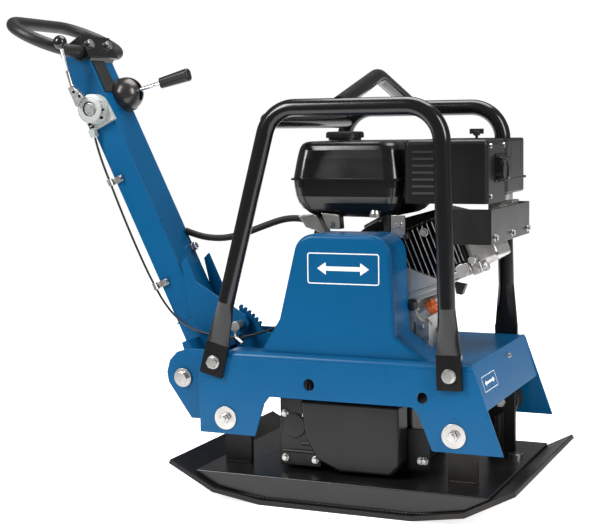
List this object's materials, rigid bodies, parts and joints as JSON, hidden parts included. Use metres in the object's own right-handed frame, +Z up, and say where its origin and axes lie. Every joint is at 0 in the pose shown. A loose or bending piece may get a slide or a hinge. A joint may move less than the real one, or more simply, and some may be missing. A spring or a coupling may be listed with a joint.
{
  "type": "plate compactor",
  "caption": "Reversible petrol plate compactor with a tilting drawbar, two protective hoops, an air-cooled engine and a geared twin-shaft exciter.",
  "frame": {"origin": "centre of the sole plate's flat underside, on the ground", "axes": "+X working direction, away from the drawbar; +Z up; the belt cover is on the -Y side"},
  "size_m": [1.1976, 0.507, 1.0079],
  "materials": {
    "painted_blue": "gloss",
    "painted_black": "satin",
    "rubber": "matte",
    "zinc": "zinc plated",
    "chrome": "polished",
    "bare_steel": "machined",
    "cast_aluminium": "as cast",
    "grey_metal": "satin",
    "black_plastic": "fine grain",
    "orange_plastic": "gloss"
  },
  "bodies": {
    "root": {"console_deck": "painted_blue", "side_plate_right": "painted_blue", "side_plate_left": "painted_blue", "pivot_ears": "painted_blue", "tooth_sector": "painted_blue", "belt_cover": "painted_blue", "sole_plate": "painted_black", "base_deck": "painted_black", "buffer_posts": "painted_black", "exciter_housing": "painted_black", "exciter_covers": "painted_black", "hoop_right": "painted_black", "hoop_left": "painted_black", "lifting_bow": "painted_black", "rear_cross_tube": "painted_black", "lower_belt_guard": "painted_black", "heat_shield": "painted_black", "muffler_guard": "painted_black", "fuel_tank": "painted_black", "blower_housing": "painted_black", "cylinder_block": "painted_black", "rubber_buffers": "rubber", "v_belt": "rubber", "hydraulic_hose": "rubber", "frame_bolts": "zinc", "exciter_bearings": "bare_steel", "clutch_hub": "bare_steel", "crankshaft": "bare_steel", "connecting_rod": "bare_steel", "muffler": "bare_steel", "crankcase": "cast_aluminium", "valve_cover": "cast_aluminium", "piston": "cast_aluminium", "flywheel": "cast_aluminium", "carburettor": "cast_aluminium", "air_cleaner": "black_plastic", "recoil_cover": "black_plastic", "throttle_cable": "black_plastic"},
    "drawbar": {"drawbar_tube": "painted_blue", "drawbar_foot": "painted_blue", "handle_bracket": "painted_black", "handle_ring": "rubber", "drawbar_bolts": "zinc", "throttle_housing": "cast_aluminium", "cable_clips": "zinc", "travel_dome": "grey_metal"},
    "throttle": {"throttle_lever": "zinc", "throttle_knob": "black_plastic"},
    "travel_control": {"travel_lever": "chrome", "travel_grip": "black_plastic"},
    "drawbar_lock": {"lock_pin": "zinc"},
    "exciter_front": {"exciter_shaft_front": "bare_steel", "exciter_pulley": "painted_black"},
    "exciter_rear": {"exciter_shaft_rear": "bare_steel"},
    "clutch": {"clutch_drum": "bare_steel"},
    "starter_grip": {"recoil_grip": "black_plastic"},
    "tank_cap": {"fuel_cap": "black_plastic"},
    "oil_filler_cap": {"oil_cap": "orange_plastic"},
    "choke": {"choke_lever": "black_plastic"},
    "cleaner_nut": {"wing_nut": "black_plastic"}
  },
  "joints": [
    {"name": "drawbar_tilt", "type": "hinge", "parent": "root", "child": "drawbar", "pos_m": [-0.3675, 0, 0.2331], "axis": [0, 1, 0], "range_deg": [-35, 20], "deforming": ["throttle_cable", "hydraulic_hose"]},
    {"name": "throttle_lever_turn", "type": "hinge", "parent": "drawbar", "child": "throttle", "pos_m": [-0.63984, 0, 0.79898], "axis": [0, 1, 0], "range_deg": [0, 55]},
    {"name": "travel_lever_swing", "type": "hinge", "parent": "drawbar", "child": "travel_control", "pos_m": [-0.60846, 0.028, 0.83294], "axis": [0, 1, 0], "range_deg": [-18, 18]},
    {"name": "lock_pin_pull", "type": "slide", "parent": "drawbar", "child": "drawbar_lock", "axis": [0, -1, 0], "range_m": [0, 0.01], "stiffness_N_per_m": 900},
    {"name": "exciter_front_spin", "type": "hinge", "parent": "root", "child": "exciter_front", "pos_m": [0.045, 0, 0.132], "axis": [0, 1, 0], "continuous": true},
    {"name": "exciter_rear_spin", "type": "hinge", "parent": "root", "child": "exciter_rear", "pos_m": [-0.065, 0, 0.132], "axis": [0, 1, 0], "continuous": true},
    {"name": "clutch_drum_spin", "type": "hinge", "parent": "root", "child": "clutch", "pos_m": [0.008, -0.15, 0.44], "axis": [0, 1, 0], "continuous": true},
    {"name": "starter_pull", "type": "slide", "parent": "root", "child": "starter_grip", "axis": [-0.25, 0.85, 0.4637], "range_m": [0, 0.35], "stiffness_N_per_m": 20},
    {"name": "fuel_cap_turn", "type": "hinge", "parent": "root", "child": "tank_cap", "pos_m": [-0.059, -0.02, 0.73], "axis": [0, 0, 1], "range_deg": [0, 90]},
    {"name": "oil_cap_turn", "type": "hinge", "parent": "root", "child": "oil_filler_cap", "pos_m": [0.108, -0.072, 0.368], "axis": [0.867, 0, 0.4983], "continuous": true},
    {"name": "choke_lever_turn", "type": "hinge", "parent": "root", "child": "choke", "pos_m": [0.242, 0.15, 0.56], "axis": [0, 1, 0], "range_deg": [-50, 0]},
    {"name": "cleaner_nut_turn", "type": "hinge", "parent": "root", "child": "cleaner_nut", "pos_m": [0.189, 0.102, 0.735], "axis": [0, 0, 1], "continuous": true}
  ],
  "couplings": [
    {"joint": "exciter_rear_spin", "follows": "exciter_front_spin", "ratio": -1},
    {"joint": "clutch_drum_spin", "follows": "exciter_front_spin", "ratio": 0.89655}
  ]
}
